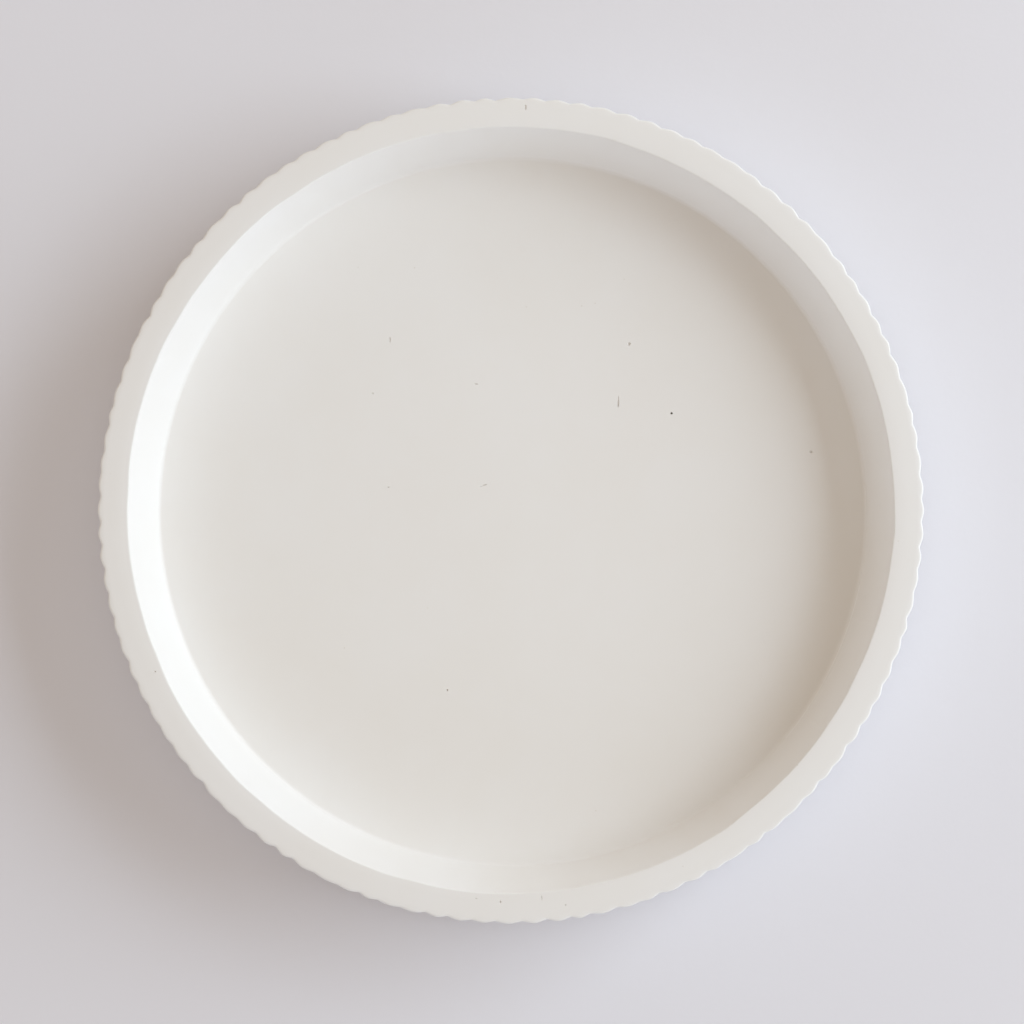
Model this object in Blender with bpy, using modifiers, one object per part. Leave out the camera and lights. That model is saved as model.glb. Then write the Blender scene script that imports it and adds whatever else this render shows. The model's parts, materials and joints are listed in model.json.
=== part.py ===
# A shallow round dish cast in one piece, with a fluted outer side, on four stick-on rubber feet.
# Metres, +Z up. The dish lies mouth up, and the origin is on the surface it stands on, under its middle.
import math

import bmesh
import bpy

# Casting
OUTER_DIAMETER = 0.150  # over the crests of the flutes
CASTING_HEIGHT = 0.020
BASE_THICKNESS = 0.007
RIM_WIDTH = 0.0055  # flat land on top, from the crests in to the cavity's edge
WALL_SLOPE = math.radians(16.0)  # lean of the inner wall from upright
FLOOR_FILLET = 0.0008  # between the inner wall and the floor
LIP_CHAMFER = 0.0003  # on the rim's inner edge
ARRIS_CHAMFER = 0.0004  # on the top and bottom edges of the fluted side
FLUTE_PITCH = 0.00436  # along the outer diameter
FLUTE_DEPTH = 0.00045

# Feet
FOOT_INSET = 0.025  # from the crests in to a foot's middle
PAD_DIAMETER = 0.0127
PAD_THICKNESS = 0.0025
PAD_TAPER = 0.0006  # how much the pad's radius shrinks towards the table
PAD_EDGE = 0.0003
ADHESIVE_MARGIN = 0.0004  # how far the adhesive stays inside the pad's edge
ADHESIVE_THICKNESS = 0.0005
SEAT_GAP = 0.0003  # clearance between pieces that rest on each other

# How finely round shapes are divided
LOBE_SEGMENTS = 4
CAVITY_STEPS = 144
FILLET_STEPS = 3
FOOT_STEPS = 32

# Levels and radii that follow from the sizes above
OUTER_RADIUS = OUTER_DIAMETER / 2
ADHESIVE_Z = PAD_THICKNESS + SEAT_GAP
BASE_Z = ADHESIVE_Z + ADHESIVE_THICKNESS + SEAT_GAP
FLOOR_Z = BASE_Z + BASE_THICKNESS
RIM_Z = BASE_Z + CASTING_HEIGHT
LIP_RADIUS = OUTER_RADIUS - RIM_WIDTH  # where the wall's slope meets the rim
FOOT_CIRCLE_RADIUS = OUTER_RADIUS - FOOT_INSET
FLUTE_COUNT = 4 * round(math.pi * OUTER_DIAMETER / FLUTE_PITCH / 4)  # so that a crest stands on each axis
CUTTER_OVERSHOOT = 0.002  # how far the cavity's cutter stands above the rim

FOOT_PLACES = {
    "back_right": math.radians(45),
    "back_left": math.radians(135),
    "front_left": math.radians(225),
    "front_right": math.radians(315),
}


def clear_scene():
    for old in list(bpy.data.objects):
        bpy.data.objects.remove(old, do_unlink=True)


def new_collection(name):
    collection = bpy.data.collections.new(name)
    bpy.context.scene.collection.children.link(collection)
    return collection


def new_material(name, colour, roughness, metallic=0.0):
    material = bpy.data.materials.new(name)
    material.use_nodes = True
    shader = material.node_tree.nodes["Principled BSDF"]
    shader.inputs["Base Color"].default_value = (*colour, 1.0)
    shader.inputs["Roughness"].default_value = roughness
    shader.inputs["Metallic"].default_value = metallic
    return material


def fluted_outline():
    # Convex lobes, each an arc from valley to valley, set round the axis with one crest on +X.
    half_pitch = math.pi / FLUTE_COUNT
    valley_radius = OUTER_RADIUS - FLUTE_DEPTH
    half_width = valley_radius * math.sin(half_pitch)
    rise = OUTER_RADIUS - valley_radius * math.cos(half_pitch)
    lobe_radius = (half_width**2 + rise**2) / (2 * rise)
    lobe_centre = OUTER_RADIUS - lobe_radius
    half_sweep = math.asin(half_width / lobe_radius)
    points = []
    for flute in range(FLUTE_COUNT):
        turn = 2 * half_pitch * flute
        for step in range(LOBE_SEGMENTS):
            sweep = half_sweep * (2 * step / LOBE_SEGMENTS - 1)
            x = lobe_centre + lobe_radius * math.cos(sweep)
            y = lobe_radius * math.sin(sweep)
            points.append(
                (
                    x * math.cos(turn) - y * math.sin(turn),
                    x * math.sin(turn) + y * math.cos(turn),
                )
            )
    return points


def fluted_disc(collection):
    # The outline as a filled 2D curve, extruded to the casting's height, then turned into a mesh.
    outline = fluted_outline()
    curve = bpy.data.curves.new("fluted_outline", "CURVE")
    curve.dimensions = "2D"
    curve.fill_mode = "BOTH"
    curve.extrude = CASTING_HEIGHT / 2
    spline = curve.splines.new("POLY")
    spline.points.add(len(outline) - 1)
    for point, (x, y) in zip(spline.points, outline):
        point.co = (x, y, 0.0, 1.0)
    spline.use_cyclic_u = True
    guide = bpy.data.objects.new("fluted_outline", curve)
    guide.location.z = (BASE_Z + RIM_Z) / 2
    collection.objects.link(guide)
    bpy.context.view_layer.update()

    graph = bpy.context.evaluated_depsgraph_get()
    mesh = bpy.data.meshes.new_from_object(guide.evaluated_get(graph))
    shape = bmesh.new()
    shape.from_mesh(mesh)
    bmesh.ops.remove_doubles(shape, verts=shape.verts, dist=1e-6)
    # The caps become one face each, so that the edge chamfer runs evenly.
    bmesh.ops.dissolve_limit(
        shape, angle_limit=math.radians(1), verts=shape.verts, edges=shape.edges
    )
    bmesh.ops.recalc_face_normals(shape, faces=shape.faces)
    shape.to_mesh(mesh)
    shape.free()
    disc = bpy.data.objects.new("dish_casting", mesh)
    disc.matrix_world = guide.matrix_world.copy()
    collection.objects.link(disc)
    bpy.data.objects.remove(guide, do_unlink=True)
    return disc


def cavity_profile():
    # Half section of the hollow, from the axis above the rim, out, down the wall and in along the floor.
    slope = math.tan(WALL_SLOPE)
    chamfer_foot = LIP_RADIUS - LIP_CHAMFER * slope
    flare = LIP_CHAMFER + CUTTER_OVERSHOOT
    points = [(0.0, RIM_Z + CUTTER_OVERSHOOT)]
    points.append((chamfer_foot + flare, RIM_Z + CUTTER_OVERSHOOT))
    points.append((chamfer_foot, RIM_Z - LIP_CHAMFER))

    # The fillet is tangent to the sloping wall and to the floor.
    sweep = math.pi / 2 - WALL_SLOPE
    floor_corner = LIP_RADIUS - (RIM_Z - FLOOR_Z) * slope
    centre_radius = floor_corner - FLOOR_FILLET * math.tan(sweep / 2)
    centre_z = FLOOR_Z + FLOOR_FILLET
    for step in range(FILLET_STEPS + 1):
        angle = -WALL_SLOPE - sweep * step / FILLET_STEPS
        points.append(
            (
                centre_radius + FLOOR_FILLET * math.cos(angle),
                centre_z + FLOOR_FILLET * math.sin(angle),
            )
        )
    points.append((0.0, FLOOR_Z))
    return points


def cavity_cutter(collection):
    points = cavity_profile()
    mesh = bpy.data.meshes.new("cavity_cutter")
    mesh.from_pydata(
        [(radius, 0.0, z) for radius, z in points],
        [(i, i + 1) for i in range(len(points) - 1)],
        [],
    )
    cutter = bpy.data.objects.new("cavity_cutter", mesh)
    cutter.hide_render = True
    cutter.display_type = "WIRE"
    collection.objects.link(cutter)
    screw = cutter.modifiers.new("turn", "SCREW")
    screw.axis = "Z"
    screw.angle = 2 * math.pi
    screw.steps = CAVITY_STEPS
    screw.render_steps = CAVITY_STEPS
    screw.use_merge_vertices = True
    screw.merge_threshold = 1e-5
    return cutter


def shade_round(mesh, crease_degrees):
    mesh.shade_smooth()
    mesh.set_sharp_from_angle(angle=math.radians(crease_degrees))


def dish_casting(collection, cutters, material):
    casting = fluted_disc(collection)
    casting.data.materials.clear()
    casting.data.materials.append(material)
    arris = casting.modifiers.new("arris", "BEVEL")
    arris.width = ARRIS_CHAMFER
    arris.segments = 1
    arris.limit_method = "ANGLE"
    arris.angle_limit = math.radians(60)
    cavity = casting.modifiers.new("cavity", "BOOLEAN")
    cavity.operation = "DIFFERENCE"
    cavity.solver = "EXACT"
    cavity.object = cavity_cutter(cutters)
    shade_round(casting.data, 30)
    return casting


def foot_pad(place, angle, collection, material):
    bpy.ops.mesh.primitive_cone_add(
        vertices=FOOT_STEPS,
        radius1=PAD_DIAMETER / 2 - PAD_TAPER,
        radius2=PAD_DIAMETER / 2,
        depth=PAD_THICKNESS,
        location=(
            FOOT_CIRCLE_RADIUS * math.cos(angle),
            FOOT_CIRCLE_RADIUS * math.sin(angle),
            PAD_THICKNESS / 2,
        ),
    )
    pad = claim_new_object("foot_pad_" + place, collection, material)
    edge = pad.modifiers.new("edge", "BEVEL")
    edge.width = PAD_EDGE
    edge.segments = 1
    edge.limit_method = "ANGLE"
    edge.angle_limit = math.radians(60)
    return pad


def adhesive_disc(place, angle, collection, material):
    bpy.ops.mesh.primitive_cylinder_add(
        vertices=FOOT_STEPS,
        radius=PAD_DIAMETER / 2 - ADHESIVE_MARGIN,
        depth=ADHESIVE_THICKNESS,
        location=(
            FOOT_CIRCLE_RADIUS * math.cos(angle),
            FOOT_CIRCLE_RADIUS * math.sin(angle),
            ADHESIVE_Z + ADHESIVE_THICKNESS / 2,
        ),
    )
    return claim_new_object("adhesive_disc_" + place, collection, material)


def claim_new_object(name, collection, material):
    # A primitive arrives in the active collection, so it is named and moved to the dish's own.
    new = bpy.context.object
    new.name = name
    new.data.name = name
    for holder in list(new.users_collection):
        holder.objects.unlink(new)
    collection.objects.link(new)
    new.data.materials.append(material)
    shade_round(new.data, 30)
    return new


def main():
    clear_scene()
    dish = new_collection("fluted_round_dish")
    cutters = new_collection("cutters")
    cutters.hide_render = True
    cast_mineral = new_material("cast_mineral", (0.87, 0.85, 0.82), 0.85)
    foot_rubber = new_material("foot_rubber", (0.62, 0.61, 0.58), 0.6)
    adhesive = new_material("adhesive", (0.80, 0.78, 0.72), 0.5)

    dish_casting(dish, cutters, cast_mineral)
    for place, angle in FOOT_PLACES.items():
        foot_pad(place, angle, dish, foot_rubber)
        adhesive_disc(place, angle, dish, adhesive)


main()
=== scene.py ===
import json
import math
import random

import bmesh
import bpy
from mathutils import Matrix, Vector


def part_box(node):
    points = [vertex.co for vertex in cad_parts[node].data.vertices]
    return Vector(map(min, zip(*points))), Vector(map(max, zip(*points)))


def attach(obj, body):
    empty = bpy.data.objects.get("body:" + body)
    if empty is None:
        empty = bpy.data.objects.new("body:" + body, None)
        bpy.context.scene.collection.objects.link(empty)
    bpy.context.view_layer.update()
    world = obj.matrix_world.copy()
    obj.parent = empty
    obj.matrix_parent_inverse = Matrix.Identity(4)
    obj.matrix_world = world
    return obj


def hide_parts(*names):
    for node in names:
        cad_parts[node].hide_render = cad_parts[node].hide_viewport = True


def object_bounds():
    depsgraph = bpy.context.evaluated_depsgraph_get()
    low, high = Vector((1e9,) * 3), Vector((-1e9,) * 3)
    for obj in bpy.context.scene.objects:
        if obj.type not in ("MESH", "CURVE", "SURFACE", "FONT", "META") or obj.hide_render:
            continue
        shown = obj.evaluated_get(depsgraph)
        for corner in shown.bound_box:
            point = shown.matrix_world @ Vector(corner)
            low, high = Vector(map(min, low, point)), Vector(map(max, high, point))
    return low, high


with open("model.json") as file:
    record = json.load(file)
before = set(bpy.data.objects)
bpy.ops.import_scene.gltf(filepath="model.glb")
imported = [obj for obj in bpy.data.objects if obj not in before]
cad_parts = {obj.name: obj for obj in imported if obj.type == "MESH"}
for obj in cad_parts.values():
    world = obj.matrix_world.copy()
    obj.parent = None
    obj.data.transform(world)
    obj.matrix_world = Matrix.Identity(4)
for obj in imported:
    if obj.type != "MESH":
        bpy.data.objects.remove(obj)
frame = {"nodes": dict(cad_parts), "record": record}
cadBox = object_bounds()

mm = 0.001
origin = (0.0, 0.0, 0.0)
near = 0.02 * mm  # closer than this counts as the same place
mountAt = {mount["name"]: Vector(mount["pos_m"]) for mount in frame["record"]["mounts"]}
print("frame loaded:", len(frame["nodes"]), "nodes")


def deselectAll():
    if bpy.context.object and bpy.context.object.mode != "OBJECT":
        bpy.ops.object.mode_set(mode="OBJECT")
    bpy.ops.object.select_all(action="DESELECT")


def selectOnly(piece):
    deselectAll()
    piece.select_set(True)
    bpy.context.view_layer.objects.active = piece


def applyPlace(piece):
    selectOnly(piece)
    bpy.ops.object.transform_apply(location=True, rotation=True, scale=True)


def startEdit(piece, mode):
    selectOnly(piece)
    bpy.ops.object.mode_set(mode="EDIT")
    bpy.ops.mesh.select_mode(type=mode)
    bpy.ops.mesh.select_all(action="DESELECT")


def endEdit():
    bpy.ops.object.mode_set(mode="OBJECT")


def selectVerts(piece, wanted):
    bpy.ops.mesh.select_all(action="DESELECT")
    cage = bmesh.from_edit_mesh(piece.data)
    for vert in cage.verts:
        vert.select = wanted(vert)
    cage.select_flush_mode()
    bmesh.update_edit_mesh(piece.data)


def selectEdges(piece, wanted):
    # edges whose two ends lie where wanted() says
    bpy.ops.mesh.select_all(action="DESELECT")
    cage = bmesh.from_edit_mesh(piece.data)
    for edge in cage.edges:
        edge.select = wanted(edge.verts[0].co) and wanted(edge.verts[1].co)
    bmesh.update_edit_mesh(piece.data)


def selectFaces(piece, wanted):
    bpy.ops.mesh.select_all(action="DESELECT")
    cage = bmesh.from_edit_mesh(piece.data)
    for face in cage.faces:
        face.select = wanted(face)
    bmesh.update_edit_mesh(piece.data)


def facesUp(face):
    return face.normal.z > 0.9


def facesDown(face):
    return face.normal.z < -0.9


def distanceOut(point):
    return math.hypot(point.x, point.y)


def bevelSelected(width, steps):
    bpy.ops.mesh.bevel(offset=width, segments=steps, profile=0.5, clamp_overlap=False)


def finishPiece(piece, cadNode, smoothAngle):
    applyPlace(piece)
    bpy.ops.object.shade_smooth_by_angle(angle=smoothAngle)
    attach(piece, "root")
    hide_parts(cadNode)


def newMaterial(name, baseColour, roughness):
    material = bpy.data.materials.new(name)
    material.use_nodes = True
    shader = material.node_tree.nodes["Principled BSDF"]
    shader.inputs["Base Color"].default_value = (*baseColour, 1.0)
    shader.inputs["Roughness"].default_value = roughness
    place = material.node_tree.nodes.new("ShaderNodeTexCoord")
    return material, shader, place.outputs["Object"]


def addNode(material, kind, **settings):
    node = material.node_tree.nodes.new(kind)
    for name, value in settings.items():
        setattr(node, name, value)
    return node


def link(material, fromSocket, toSocket):
    material.node_tree.links.new(fromSocket, toSocket)


def noiseOn(material, place, size, detail, roughness=0.5):
    # size is the width of one blotch, in metres
    noise = addNode(material, "ShaderNodeTexNoise")
    noise.inputs["Scale"].default_value = 1.0 / size
    noise.inputs["Detail"].default_value = detail
    noise.inputs["Roughness"].default_value = roughness
    link(material, place, noise.inputs["Vector"])
    return noise.outputs["Fac"]


def rampOn(material, value, low, high, lowColour, highColour):
    ramp = addNode(material, "ShaderNodeValToRGB")
    first, last = ramp.color_ramp.elements
    first.position, last.position = low, high
    first.color = (*lowColour, 1.0)
    last.color = (*highColour, 1.0)
    link(material, value, ramp.inputs["Fac"])
    return ramp.outputs["Color"]


def multiplyColours(material, first, second):
    mix = addNode(material, "ShaderNodeMix", data_type="RGBA", blend_type="MULTIPLY")
    mix.inputs["Factor"].default_value = 1.0
    link(material, first, mix.inputs["A"])
    link(material, second, mix.inputs["B"])
    return mix.outputs["Result"]


def rescale(material, value, low, high):
    # a value from 0 to 1 spread over low to high
    spread = addNode(material, "ShaderNodeMapRange")
    spread.inputs["To Min"].default_value = low
    spread.inputs["To Max"].default_value = high
    link(material, value, spread.inputs["Value"])
    return spread.outputs["Result"]


def addBump(material, height, depth, under=None):
    bump = addNode(material, "ShaderNodeBump")
    bump.inputs["Distance"].default_value = depth
    link(material, height, bump.inputs["Height"])
    if under is not None:
        link(material, under, bump.inputs["Normal"])
    return bump.outputs["Normal"]


def stretchedPlace(material, place, scale, turn):
    # the piece's own place, drawn out along one direction for scratches
    mapping = addNode(material, "ShaderNodeMapping")
    mapping.inputs["Scale"].default_value = scale
    mapping.inputs["Rotation"].default_value = (0.0, 0.0, turn)
    link(material, place, mapping.inputs["Vector"])
    return mapping.outputs["Vector"]


mineral = {
    "colour": (0.870, 0.850, 0.820),
    "warmBlotch": (0.992, 0.988, 0.980),
    "blotchSize": 16 * mm,
    "blotchReach": (0.35, 0.65),
    "speckCell": 2.6 * mm,
    "speckShare": 0.08,          # of the cells hold a speck
    "speckColour": (0.90, 0.88, 0.85),
    "speckReach": (0.03, 0.07),  # a speck's edge, in cell widths
    "roughness": 0.86,
    "roughnessSpread": 0.05,
    "specular": 0.25,
    "grainSize": 0.20 * mm,
    "grainDepth": 0.006 * mm,
    "swellSize": 3.5 * mm,
    "swellDepth": 0.012 * mm,
    "sandedColour": (0.850, 0.830, 0.798),
    "sandedRoughness": 0.92,
    "scratchTurns": (25, 70, 140),  # degrees
    "scratchSize": 0.35 * mm,
    "scratchStretch": 14.0,
    "scratchDepth": 0.045 * mm,
    "openGrainSize": 0.55 * mm,
    "openGrainDepth": 0.060 * mm,
    # painted highlight: the paler colour of the seam at the foot of the wall
    "seamHighlightColour": (0.95, 0.94, 0.92),
    # painted shade: the darker colours given to the inside of the deep and faint pinholes
    "deepShadeColour": (0.30, 0.28, 0.25),
    "faintShadeColour": (0.66, 0.64, 0.61),
    "hollowRoughness": 0.95,
    "hollowPale": 1.4,             # pale grains are this many times as bright
    "mottleReach": (0.3, 0.7),
}


def tintedMineral(material, place, colour):
    # faint warm blotches and sparse specks over the plain colour
    warm = tuple(a * b for a, b in zip(colour, mineral["warmBlotch"]))
    blotches = noiseOn(material, place, mineral["blotchSize"], 4.0, 0.55)
    tone = rampOn(material, blotches, *mineral["blotchReach"], warm, colour)

    cells = addNode(material, "ShaderNodeTexVoronoi")
    cells.inputs["Scale"].default_value = 1.0 / mineral["speckCell"]
    link(material, place, cells.inputs["Vector"])
    dots = rampOn(
        material, cells.outputs["Distance"], *mineral["speckReach"], mineral["speckColour"], (1, 1, 1))
    cellValue = addNode(material, "ShaderNodeSeparateColor")
    link(material, cells.outputs["Color"], cellValue.inputs["Color"])
    chosen = addNode(material, "ShaderNodeMath", operation="LESS_THAN")
    chosen.inputs[1].default_value = mineral["speckShare"]
    link(material, cellValue.outputs["Red"], chosen.inputs[0])
    specks = addNode(material, "ShaderNodeMix", data_type="RGBA")
    specks.inputs["A"].default_value = (1, 1, 1, 1)
    link(material, chosen.outputs["Value"], specks.inputs["Factor"])
    link(material, dots, specks.inputs["B"])
    return multiplyColours(material, tone, specks.outputs["Result"])


def makeCastFace(name, colour):
    # set compound as it leaves a smooth mould: matt, with a very fine grain
    material, shader, place = newMaterial(name, colour, mineral["roughness"])
    link(material, tintedMineral(material, place, colour), shader.inputs["Base Color"])
    swell = noiseOn(material, place, mineral["swellSize"], 2.0)
    grain = noiseOn(material, place, mineral["grainSize"], 3.0)
    low = mineral["roughness"] - mineral["roughnessSpread"]
    high = mineral["roughness"] + mineral["roughnessSpread"]
    link(material, rescale(material, swell, low, high), shader.inputs["Roughness"])
    relief = addBump(material, swell, mineral["swellDepth"])
    relief = addBump(material, grain, mineral["grainDepth"], relief)
    link(material, relief, shader.inputs["Normal"])
    shader.inputs["Specular IOR Level"].default_value = mineral["specular"]
    return material


def makeSandedFace():
    # the open side of the mould, sanded flat once set: open grain and crossing scratches
    colour = mineral["sandedColour"]
    material, shader, place = newMaterial("sandedMineral", colour, mineral["sandedRoughness"])
    link(material, tintedMineral(material, place, colour), shader.inputs["Base Color"])
    openGrain = noiseOn(material, place, mineral["openGrainSize"], 4.0, 0.6)
    relief = addBump(material, openGrain, mineral["openGrainDepth"])
    for turn in mineral["scratchTurns"]:
        stretch = (1.0, 1.0 / mineral["scratchStretch"], 1.0)
        along = stretchedPlace(material, place, stretch, math.radians(turn))
        scratches = noiseOn(material, along, mineral["scratchSize"], 2.0)
        relief = addBump(material, scratches, mineral["scratchDepth"], relief)
    link(material, relief, shader.inputs["Normal"])
    shader.inputs["Specular IOR Level"].default_value = mineral["specular"]
    return material


def makeHollow(name, colour):
    # inside the pinholes: painted shade, a colour darker than the casting's, flecked with paler grains
    material, shader, place = newMaterial(name, colour, mineral["hollowRoughness"])
    pale = tuple(mineral["hollowPale"] * value for value in colour)
    grains = noiseOn(material, place, mineral["grainSize"], 2.0)
    tone = rampOn(material, grains, *mineral["mottleReach"], colour, pale)
    link(material, tone, shader.inputs["Base Color"])
    return material


castMineral = makeCastFace("castMineral", mineral["colour"])
# a paler copy of the cast face, for the seam's painted highlight
seamHighlightMineral = makeCastFace("seamHighlightMineral", mineral["seamHighlightColour"])
sandedMineral = makeSandedFace()
# the pinholes' insides, painted darker as shade
deepPinholeShade = makeHollow("deepPinholeShade", mineral["deepShadeColour"])
faintPinholeShade = makeHollow("faintPinholeShade", mineral["faintShadeColour"])
print("casting's materials made")


casting = {
    "rimWidth": 5.5 * mm,
    "wallLean": math.radians(16.0),
    "floorFillet": 0.8 * mm,
    "filletSteps": 6,
    "lipRound": 0.35 * mm,
    "lipSteps": 4,
    "arrisRound": 0.40 * mm,
    "arrisSteps": 3,
    "arrisMargin": 1.3 * mm,     # plain ring inside the fluted edge
    "fluteCount": 108,
    "stepsPerFlute": 8,          # columns of faces to a flute
    "fluteDepth": 0.41 * mm,
    "depthSpread": 0.10 * mm,    # deeper and shallower valleys
    "crestSpread": 0.06 * mm,    # crests that stand a little low
    "drift": math.radians(0.42),  # valleys that sit off their even places
    "moveStep": 0.01 * mm,       # columns are moved in steps of this
    "turnStep": math.radians(0.05),
    "seed": 7,
    # the lip's unevenness: waves round the ring, and their height in steps
    "lipWaves": ((3, 6), (5, 6), (8, 4), (13, 4), (19, 3), (27, 3), (41, 2), (55, 2)),
    "lipReach": 1.0 * mm,        # how far from the lip its ring of vertices goes
    # a fine moulding line at the foot of the wall, coloured paler as a painted highlight
    "seamFrom": math.radians(-40),
    "seamTo": math.radians(-12),
    "seamHeight": 0.10 * mm,
    "seamWidth": 0.10 * mm,
    "floorRings": (56.0 * mm, 44.0 * mm, 30.0 * mm, 16.0 * mm, 6.0 * mm),
    "weld": 0.001 * mm,          # vertices closer than this become one
    "smoothAngle": math.radians(32),
}
columnCount = casting["fluteCount"] * casting["stepsPerFlute"]
castingMaterials = (castMineral, sandedMineral, deepPinholeShade, faintPinholeShade, seamHighlightMineral)


def fluteShape(share):
    # from 0 on a crest to 1 in a valley: a round lobe with a softened valley
    return 0.5 * share ** 2 + 0.5 * math.sin(share * math.pi / 2) ** 2


def columnMoves():
    # how far each column of the side is drawn in, and turned off its even place
    random.seed(casting["seed"])
    count, steps = casting["fluteCount"], casting["stepsPerFlute"]
    half = steps // 2
    depth, spread, drift = casting["fluteDepth"], casting["depthSpread"], casting["drift"]
    valleyDepth = [max(depth / 3, random.gauss(depth, spread)) for _ in range(count)]
    crestDrop = [random.uniform(0, casting["crestSpread"]) for _ in range(count)]
    valleyDrift = [random.uniform(-drift, drift) for _ in range(count)]
    crestDrift = [(valleyDrift[k - 1] + valleyDrift[k]) / 2 for k in range(count)]
    moves = []
    for column in range(columnCount):
        flute, step = divmod(column, steps)
        share = min(step, steps - step) / half
        crest = flute if step <= half else (flute + 1) % count
        drawIn = crestDrop[crest] + (valleyDepth[flute] - crestDrop[crest]) * fluteShape(share)
        turn = crestDrift[crest] + (valleyDrift[flute] - crestDrift[crest]) * share
        moves.append((round(drawIn / casting["moveStep"]), round(turn / casting["turnStep"])))
    return moves


def paintSelected(dish, material):
    dish.active_material_index = castingMaterials.index(material)
    bpy.ops.object.material_slot_assign()


def insetTo(piece, radius):
    # insets the selected round face until its edge is at that radius
    cage = bmesh.from_edit_mesh(piece.data)
    now = max(distanceOut(vert.co) for vert in cage.verts if vert.select)
    bpy.ops.mesh.inset(thickness=now - radius, depth=0.0)


def closeCentre(piece, rings):
    # rings down a flat round face, then a fan to the middle
    for radius in rings:
        insetTo(piece, radius)
    bpy.ops.mesh.poke()


def roundEdge(piece, level, radius, width, steps):
    selectEdges(piece, lambda co: abs(co.z - level) < near and abs(distanceOut(co) - radius) < near)
    bevelSelected(width, steps)


def columnOf(point):
    # which of the casting's columns a point stands in, counted round from +X
    return round(math.atan2(point.y, point.x) / math.tau * columnCount) % columnCount


def drawColumnsIn(dish, onRing, steps, radius):
    # steps says how far each column of that ring goes in; equal ones are moved together
    cage = bmesh.from_edit_mesh(dish.data)
    columns = {vert.index: steps[columnOf(vert.co)] for vert in cage.verts if onRing(vert.co)}
    for drawIn in sorted(set(steps) - {0}):
        selectVerts(dish, lambda vert: columns.get(vert.index) == drawIn)
        scale = 1 - drawIn * casting["moveStep"] / radius
        bpy.ops.transform.resize(value=(scale, scale, 1), center_override=origin)


def fluteSide(dish, outerRadius):
    def onSide(co):
        return distanceOut(co) > outerRadius - near

    moves = columnMoves()
    bpy.ops.mesh.select_mode(type="VERT")
    cage = bmesh.from_edit_mesh(dish.data)
    turns = {vert.index: moves[columnOf(vert.co)][1] for vert in cage.verts if onSide(vert.co)}
    drawColumnsIn(dish, onSide, [drawIn for drawIn, turn in moves], outerRadius)
    for turn in sorted(set(turns.values()) - {0}):
        selectVerts(dish, lambda vert: turns.get(vert.index) == turn)
        bpy.ops.transform.rotate(
            value=-turn * casting["turnStep"], orient_axis="Z", center_override=origin)


def unevenLip(dish, lipRadius, rimZ):
    # the lip wanders a little off its circle, as hand casting leaves it
    waves = [(number, height, random.uniform(0, math.tau)) for number, height in casting["lipWaves"]]
    reach = casting["lipReach"]

    def stepsAt(around):
        return round(sum(height * math.sin(number * around + start) for number, height, start in waves))

    def onLip(co):
        return co.z > rimZ - reach and abs(distanceOut(co) - lipRadius) < reach

    steps = [stepsAt(column / columnCount * math.tau) for column in range(columnCount)]
    bpy.ops.mesh.select_mode(type="VERT")
    drawColumnsIn(dish, onLip, steps, lipRadius)


def seamShare(x, y):
    # how far along the seam a place stands, from 0 at its start to 1 at its end
    return (math.atan2(y, x) - casting["seamFrom"]) / (casting["seamTo"] - casting["seamFrom"])


def raiseSeam(dish, level, radius):
    # a fine ridge along one stretch of the ring where the fillet meets the wall
    def onRing(co, reach=near):
        return abs(co.z - level) < reach and abs(distanceOut(co) - radius) < reach

    def onSeam(vert):
        return onRing(vert.co, casting["seamWidth"] + near) and 0 < seamShare(vert.co.x, vert.co.y) < 1

    bpy.ops.mesh.select_mode(type="EDGE")
    selectEdges(dish, onRing)
    bevelSelected(casting["seamWidth"], 2)  # two strips, with a ring of vertices between them

    # the seam's faces get the paler colour: a painted highlight along the ridge
    bpy.ops.mesh.select_mode(type="FACE")
    selectFaces(dish, lambda face: all(onSeam(vert) for vert in face.verts))
    paintSelected(dish, seamHighlightMineral)

    height = casting["seamHeight"] / casting["moveStep"]
    steps = []
    for column in range(columnCount):
        around = column / columnCount * math.tau
        share = seamShare(math.cos(around), math.sin(around))
        steps.append(round(height * math.sin(share * math.pi) ** 0.5) if 0 < share < 1 else 0)
    bpy.ops.mesh.select_mode(type="VERT")
    drawColumnsIn(dish, onRing, steps, radius)


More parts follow.
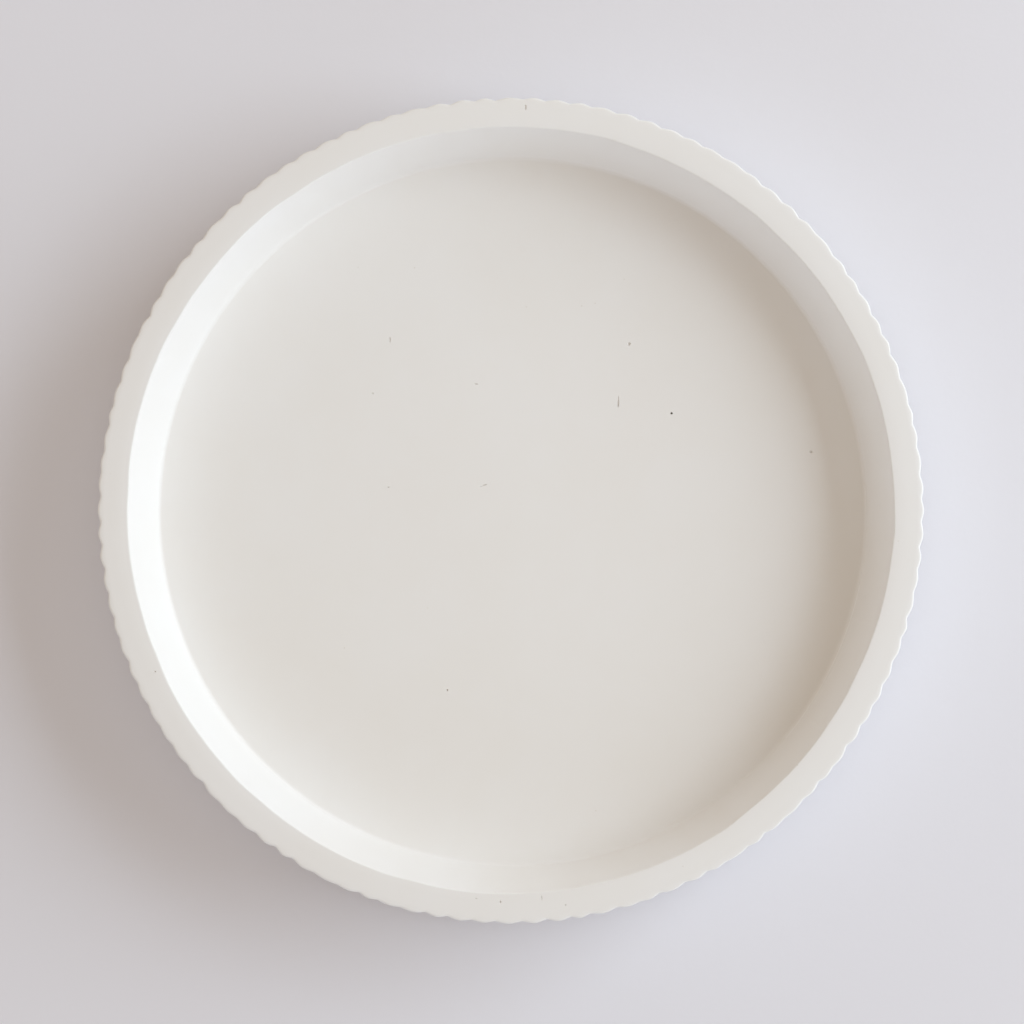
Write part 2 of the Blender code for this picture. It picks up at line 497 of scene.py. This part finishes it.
def makeCasting():
    low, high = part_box("dish_casting")
    outerRadius = high.x
    baseZ, rimZ = low.z, high.z
    floorZ = mountAt["inside_floor"].z
    lipRadius = outerRadius - casting["rimWidth"]
    floorRadius = lipRadius - (rimZ - floorZ) * math.tan(casting["wallLean"])

    bpy.ops.mesh.primitive_cylinder_add(
        vertices=columnCount, radius=outerRadius, depth=rimZ - baseZ, end_fill_type="NGON",
        location=(0, 0, (baseZ + rimZ) / 2))
    dish = bpy.context.object
    dish.name = "fluted_casting"
    applyPlace(dish)
    for material in castingMaterials:
        dish.data.materials.append(material)

    # top: the flat rim, then the hollow pressed down inside it
    startEdit(dish, "FACE")
    selectFaces(dish, facesUp)
    insetTo(dish, outerRadius - casting["arrisMargin"])
    insetTo(dish, (outerRadius + lipRadius) / 2)
    insetTo(dish, lipRadius)
    bpy.ops.mesh.extrude_region_move(TRANSFORM_OT_translate={"value": (0, 0, floorZ - rimZ)})
    shrink = floorRadius / lipRadius
    bpy.ops.transform.resize(value=(shrink, shrink, 1), center_override=(0, 0, floorZ))
    closeCentre(dish, casting["floorRings"])

    # underside, sanded flat
    selectFaces(dish, facesDown)
    paintSelected(dish, sandedMineral)
    insetTo(dish, outerRadius - casting["arrisMargin"])
    closeCentre(dish, casting["floorRings"])

    # fillet at the foot of the wall, then the lip, then the seam where the fillet meets the wall
    bpy.ops.mesh.select_mode(type="EDGE")
    lean = casting["wallLean"]
    widthPerRadius = math.tan((math.pi / 2 - lean) / 2)
    filletWidth = casting["floorFillet"] * widthPerRadius
    roundEdge(dish, floorZ, floorRadius, filletWidth, casting["filletSteps"])
    roundEdge(dish, rimZ, lipRadius, casting["lipRound"] * widthPerRadius, casting["lipSteps"])
    raiseSeam(dish, floorZ + filletWidth * math.cos(lean), floorRadius + filletWidth * math.sin(lean))

    fluteSide(dish, outerRadius)
    unevenLip(dish, lipRadius, rimZ)

    # arrises of the fluted side, top and bottom
    bpy.ops.mesh.select_mode(type="EDGE")
    inner = outerRadius - casting["arrisMargin"] + near
    for level in (rimZ, baseZ):
        selectEdges(dish, lambda co: abs(co.z - level) < near and distanceOut(co) > inner)
        bevelSelected(casting["arrisRound"], casting["arrisSteps"])
    endEdit()
    return dish


castingPiece = makeCasting()
print("casting:", len(castingPiece.data.polygons), "faces")


# each mark: x and y from the middle, length and width in mm, turn in degrees, and how far
# its leading end dips below its trailing end, in degrees
pinholes = {
    "deepOnFloor": [
        (29.8, 18.1, 0.47, 0.42, 0, 0),
    ],
    "faintOnFloor": [
        (21.9, 31.0, 0.68, 0.60, 40, 0),
        (19.9, 20.3, 2.40, 0.36, 269, 4.0),
        (-5.2, 4.7, 1.70, 0.28, 20, 4.0),
        (-6.6, 23.6, 0.80, 0.27, 0, 0),
        (-22.6, 31.9, 1.10, 0.28, 90, 0),
        (-11.9, -33.3, 0.44, 0.40, 0, 0),
        (55.6, 10.9, 0.58, 0.50, 10, 0),
        (-25.8, 21.9, 0.42, 0.32, 0, 0),
        (-22.9, 4.4, 0.50, 0.28, 0, 0),
    ],
    "faintOnRim": [
        (3.0, 73.1, 1.00, 0.38, 90, 0),
        (-64.4, -29.5, 0.40, 0.36, 0, 0),
        (-6.0, -70.4, 0.50, 0.20, 0, 0),
        (-1.6, -71.0, 0.46, 0.36, 80, 0),
        (5.9, -70.3, 1.00, 0.22, 95, 0),
        (10.2, -71.5, 0.34, 0.28, 0, 0),
    ],
    "deepPerWidth": 2.2,         # depth of the cutting ball
    "faintPerWidth": 1.2,
    "smoothness": 2,             # of the cutting ball
    "smallest": 0.20 * mm,
    "sideCount": 30,
    "sideLargest": 0.50 * mm,
    "sidePerSize": 1.6,
    "undersideCount": 90,
    "undersideLargest": 0.85 * mm,
    "undersidePerSize": 1.4,
    "longest": 1.5,              # length of a scattered one in its own widths
    "apart": 2.0 * mm,           # scattered ones keep this far from their neighbours
    "fromEdge": 1.5 * mm,
    "seed": 23,
}


def pinholeCutter(place, length, width, depth, dip, turn, dustAndShade):
    # dip 0 digs into a level face, 90 degrees into an upright one
    # the cutter carries its painted-shade material onto the walls of the hollow it cuts
    bpy.ops.mesh.primitive_ico_sphere_add(
        subdivisions=pinholes["smoothness"], radius=0.5, location=place,
        rotation=(0.0, dip, turn), scale=(length, width, depth))
    cutter = bpy.context.object
    cutter.data.materials.append(dustAndShade)
    return cutter


def markCutters(marks, level, depthPerWidth, dustAndShade):
    for x, y, length, width, turn, dip in marks:
        yield pinholeCutter(
            (x * mm, y * mm, level), length * mm, width * mm, width * mm * depthPerWidth,
            math.radians(dip), math.radians(turn), dustAndShade)


def scatterPinhole(cutters, place, largest, depthPerSize, dip, turn):
    # small ones are commoner, and one that would touch another is left out
    smallest = pinholes["smallest"]
    size = smallest + (largest - smallest) * random.random() ** 3
    stretch = random.uniform(1.0, pinholes["longest"])
    if all((place - other.location).length > pinholes["apart"] for other in cutters):
        cutters.append(pinholeCutter(
            place, size * stretch, size, size * depthPerSize, dip, turn, deepPinholeShade))


def makePinholes(dish):
    random.seed(pinholes["seed"])
    low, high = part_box("dish_casting")
    floorZ = mountAt["inside_floor"].z
    deep, faint = pinholes["deepPerWidth"], pinholes["faintPerWidth"]
    # deep marks get the darker painted shade, faint ones the lighter painted shade
    cutters = [
        *markCutters(pinholes["deepOnFloor"], floorZ, deep, deepPinholeShade),
        *markCutters(pinholes["faintOnFloor"], floorZ, faint, faintPinholeShade),
        *markCutters(pinholes["faintOnRim"], high.z, faint, faintPinholeShade)]

    # scattered over the outer side, then over the underside
    side = high.x - casting["fluteDepth"] / 2
    margin = pinholes["fromEdge"]
    for _ in range(pinholes["sideCount"]):
        around = random.uniform(0, math.tau)
        height = random.uniform(low.z + margin, high.z - margin)
        place = Vector((side * math.cos(around), side * math.sin(around), height))
        scatterPinhole(
            cutters, place, pinholes["sideLargest"], pinholes["sidePerSize"], math.pi / 2, around)
    for _ in range(pinholes["undersideCount"]):
        out = (high.x - 2 * margin) * math.sqrt(random.random())
        around = random.uniform(0, math.tau)
        place = Vector((out * math.cos(around), out * math.sin(around), low.z))
        scatterPinhole(
            cutters, place, pinholes["undersideLargest"], pinholes["undersidePerSize"], 0.0, around)

    deselectAll()
    for cutter in cutters:
        cutter.select_set(True)
    bpy.context.view_layer.objects.active = cutters[0]
    bpy.ops.object.join()
    balls = bpy.context.object
    selectOnly(dish)
    cut = dish.modifiers.new("pinholes", "BOOLEAN")
    cut.operation = "DIFFERENCE"
    cut.solver = "EXACT"
    cut.material_mode = "TRANSFER"
    cut.object = balls
    bpy.ops.object.modifier_apply(modifier=cut.name)
    bpy.data.objects.remove(balls, do_unlink=True)

    # the cut leaves edges of no length on the level faces
    startEdit(dish, "VERT")
    bpy.ops.mesh.select_all(action="SELECT")
    bpy.ops.mesh.remove_doubles(threshold=casting["weld"])
    endEdit()


makePinholes(castingPiece)
finishPiece(castingPiece, "dish_casting", casting["smoothAngle"])
print("pinholes cut:", len(castingPiece.data.polygons), "faces")


footPlaces = ("front_left", "front_right", "back_left", "back_right")
foot = {
    "colour": (0.60, 0.59, 0.565),
    "roughness": (0.58, 0.82),
    "mattedSize": 0.16 * mm,
    "mattedDepth": 0.010 * mm,
    "dustSize": 4.0 * mm,
    "dustColour": (0.70, 0.685, 0.66),
    "mottleReach": (0.42, 0.72),
    "sides": 64,
    "taper": 0.6 * mm,           # narrower where it meets the table
    "edgeRound": 0.35 * mm,
    "topRound": 0.175 * mm,
    "edgeSteps": 4,
    "treadRadius": 3.6 * mm,     # the shallow hollow in the middle of the tread
    "treadDepth": 0.25 * mm,
    "gateRadius": 0.7 * mm,      # where the rubber entered the mould
    "gateEdge": 0.98 * mm,       # the outer radius of the step round it
    "gateDepth": 0.12 * mm,
    "smoothAngle": math.radians(35),
}


def makeRubber():
    # moulded rubber with a fine matt texture and a little dust
    material, shader, place = newMaterial("footRubber", foot["colour"], foot["roughness"][0])
    dustAndShade = noiseOn(material, place, foot["dustSize"], 5.0, 0.6)
    tone = rampOn(material, dustAndShade, *foot["mottleReach"], foot["colour"], foot["dustColour"])
    link(material, tone, shader.inputs["Base Color"])
    link(material, rescale(material, dustAndShade, *foot["roughness"]), shader.inputs["Roughness"])
    matted = noiseOn(material, place, foot["mattedSize"], 2.0)
    link(material, addBump(material, matted, foot["mattedDepth"]), shader.inputs["Normal"])
    return material


def makeFootPattern():
    low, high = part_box("foot_pad_" + footPlaces[0])
    topRadius = (high.x - low.x) / 2
    height = high.z - low.z
    bpy.ops.mesh.primitive_cylinder_add(
        vertices=foot["sides"], radius=topRadius, depth=height, end_fill_type="NGON",
        location=(0, 0, (low.z + high.z) / 2))
    pad = bpy.context.object
    applyPlace(pad)
    startEdit(pad, "FACE")
    selectFaces(pad, facesDown)
    shrink = 1 - foot["taper"] / topRadius
    bpy.ops.transform.resize(value=(shrink, shrink, 1), center_override=origin)

    # tread: a shallow hollow with the gate's mark in its middle
    insetTo(pad, foot["treadRadius"] + 2 * foot["treadDepth"])
    insetTo(pad, foot["treadRadius"])
    bpy.ops.transform.translate(value=(0, 0, foot["treadDepth"]))
    insetTo(pad, foot["gateEdge"])
    insetTo(pad, foot["gateRadius"])
    bpy.ops.transform.translate(value=(0, 0, foot["gateDepth"]))
    bpy.ops.mesh.poke()

    selectFaces(pad, facesUp)
    insetTo(pad, foot["treadRadius"])
    bpy.ops.mesh.poke()

    bpy.ops.mesh.select_mode(type="EDGE")
    widest = topRadius - foot["taper"] - near
    for level, width in ((low.z, foot["edgeRound"]), (high.z, foot["topRound"])):
        selectEdges(pad, lambda co: abs(co.z - level) < near and distanceOut(co) > widest)
        bevelSelected(width, foot["edgeSteps"])
    endEdit()
    pad.data.materials.append(makeRubber())
    return pad


tape = {
    "colour": (0.80, 0.78, 0.72),
    "cellShade": 0.88,           # of the colour, in the middle of a cell
    "cellReach": (0.1, 0.6),
    "roughness": (0.45, 0.75),
    "cellSize": 0.30 * mm,
    "cellDepth": 0.030 * mm,
    "sides": 64,
    "edgeRound": 0.22 * mm,
    "edgeSteps": 3,
    "clearance": 0.02 * mm,      # to the rubber below and the casting above
    "innerRadius": 3.0 * mm,
    "smoothAngle": math.radians(35),
}


def makeFoam():
    # double-sided foam, cut with a punch: fine open cells on the cut edge
    material, shader, place = newMaterial("foamTape", tape["colour"], tape["roughness"][0])
    shade = tuple(tape["cellShade"] * value for value in tape["colour"])
    cells = addNode(material, "ShaderNodeTexVoronoi")
    cells.inputs["Scale"].default_value = 1.0 / tape["cellSize"]
    link(material, place, cells.inputs["Vector"])
    distance = cells.outputs["Distance"]
    tone = rampOn(material, distance, *tape["cellReach"], shade, tape["colour"])
    link(material, tone, shader.inputs["Base Color"])
    link(material, rescale(material, distance, *tape["roughness"]), shader.inputs["Roughness"])
    link(material, addBump(material, distance, tape["cellDepth"]), shader.inputs["Normal"])
    return material


def makeTapePattern():
    # bonded, the foam fills the room between the rubber and the casting
    place = footPlaces[0]
    low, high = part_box("adhesive_disc_" + place)
    radius = (high.x - low.x) / 2
    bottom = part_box("foot_pad_" + place)[1].z + tape["clearance"]
    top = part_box("dish_casting")[0].z - tape["clearance"]
    bpy.ops.mesh.primitive_cylinder_add(
        vertices=tape["sides"], radius=radius, depth=top - bottom, end_fill_type="NGON",
        location=(0, 0, (bottom + top) / 2))
    disc = bpy.context.object
    applyPlace(disc)
    startEdit(disc, "FACE")
    for side in (facesDown, facesUp):
        selectFaces(disc, side)
        insetTo(disc, tape["innerRadius"])
        bpy.ops.mesh.poke()
    bpy.ops.mesh.select_mode(type="EDGE")
    for level in (bottom, top):
        selectEdges(disc, lambda co: abs(co.z - level) < near and distanceOut(co) > radius - near)
        bevelSelected(tape["edgeRound"], tape["edgeSteps"])
    endEdit()
    disc.data.materials.append(makeFoam())
    return disc


def copyToFeet(pattern, pieceName, cadName, smoothAngle):
    # one copy at each foot, each with its own mesh, turned by a quarter
    for quarter, place in enumerate(footPlaces):
        low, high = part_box(cadName + place)
        piece = pattern.copy()
        piece.data = pattern.data.copy()
        piece.name = pieceName + place
        bpy.context.collection.objects.link(piece)
        piece.rotation_euler = (0, 0, quarter * math.pi / 2)
        piece.location = ((low.x + high.x) / 2, (low.y + high.y) / 2, 0)
        finishPiece(piece, cadName + place, smoothAngle)
    bpy.data.objects.remove(pattern, do_unlink=True)


copyToFeet(makeFootPattern(), "rubber_foot_", "foot_pad_", foot["smoothAngle"])
copyToFeet(makeTapePattern(), "foam_tape_", "adhesive_disc_", tape["smoothAngle"])
print("feet and tape set")


studio = {
    "floorSize": 12.0,
    "floorColour": (0.800, 0.786, 0.818),
    "floorRoughness": 0.9,
    "floorGrainSize": 1.2 * mm,
    "floorGrainDepth": 0.02 * mm,
    # the room's glow: how high up, from 0 on the horizon to 1 overhead, and its colour
    "horizon": (0.13, (0.72, 0.71, 0.73)),
    "overhead": (0.24, (0.50, 0.43, 0.36)),
    "distance": 1.2,             # of the softboxes, from the dish
    # turn round the dish and rise above the floor in degrees, width and height in metres,
    # watts, colour
    "softboxes": {
        "key": (15, 31, 1.10, 0.85, 13.2, (0.744, 0.872, 1.0)),
        "frontFill": (255, 14, 1.10, 0.50, 3.5, (0.573, 0.749, 1.0)),
        "leftFill": (135, 14, 1.10, 0.50, 1.05, (1.0, 1.0, 1.0)),
    },
}


def makeFloor():
    bpy.ops.mesh.primitive_plane_add(size=studio["floorSize"], location=(0, 0, cadBox[0].z))
    ground = bpy.context.object
    ground.name = "studioFloor"
    material, shader, place = newMaterial("palePaper", studio["floorColour"], studio["floorRoughness"])
    grain = noiseOn(material, place, studio["floorGrainSize"], 4.0)
    link(material, addBump(material, grain, studio["floorGrainDepth"]), shader.inputs["Normal"])
    ground.data.materials.append(material)


def makeRoom():
    # a soft room round the dish, pale at the horizon and warmer above
    world = bpy.data.worlds.new("softRoom")
    bpy.context.scene.world = world
    world.use_nodes = True
    nodes, links = world.node_tree.nodes, world.node_tree.links
    direction = nodes.new("ShaderNodeTexCoord")
    height = nodes.new("ShaderNodeSeparateXYZ")
    glow = nodes.new("ShaderNodeValToRGB")
    for stop, place in zip(glow.color_ramp.elements, ("horizon", "overhead")):
        stop.position, colour = studio[place]
        stop.color = (*colour, 1.0)
    links.new(direction.outputs["Generated"], height.inputs["Vector"])
    links.new(height.outputs["Z"], glow.inputs["Fac"])
    links.new(glow.outputs["Color"], nodes["Background"].inputs["Color"])


def makeSoftboxes():
    for name, (turn, rise, width, height, watts, colour) in studio["softboxes"].items():
        turn, rise = math.radians(turn), math.radians(rise)
        reach = studio["distance"] * math.cos(rise)
        bpy.ops.object.light_add(type="AREA", location=(
            reach * math.cos(turn), reach * math.sin(turn), studio["distance"] * math.sin(rise)))
        box = bpy.context.object
        box.name = name
        box.data.shape = "RECTANGLE"
        box.data.size = width
        box.data.size_y = height
        box.data.energy = watts
        box.data.color = colour
        box.rotation_euler = (-box.location).to_track_quat("-Z", "Y").to_euler()
        box.visible_camera = False


view = {
    "lens": 100.0,
    "distance": 0.5156,          # from the rim's plane
    "toFront": math.radians(1.3),  # how far the view leans off the dish's axis
    "toRight": math.radians(1.6),
    "aim": (0.51 * mm, -0.51 * mm),
    "sensor": 36.0,
    "nearest": 0.01,
    "farthest": 50.0,
}


def makeCamera():
    toFront, toRight = view["toFront"], view["toRight"]
    aim = Vector((*view["aim"], mountAt["rim_land"].z))
    level = math.cos(toFront)
    back = Vector((level * math.sin(toRight), -math.sin(toFront), level * math.cos(toRight)))
    bpy.ops.object.camera_add(location=aim + back * view["distance"], rotation=(toFront, toRight, 0.0))
    camera = bpy.context.object
    camera.name = "frontCamera"
    camera.data.lens = view["lens"]
    camera.data.sensor_width = view["sensor"]
    camera.data.clip_start = view["nearest"]
    camera.data.clip_end = view["farthest"]
    bpy.context.scene.camera = camera


makeFloor()
makeRoom()
makeSoftboxes()
makeCamera()
bpy.context.scene.view_settings.view_transform = "Standard"
print("studio and camera set")
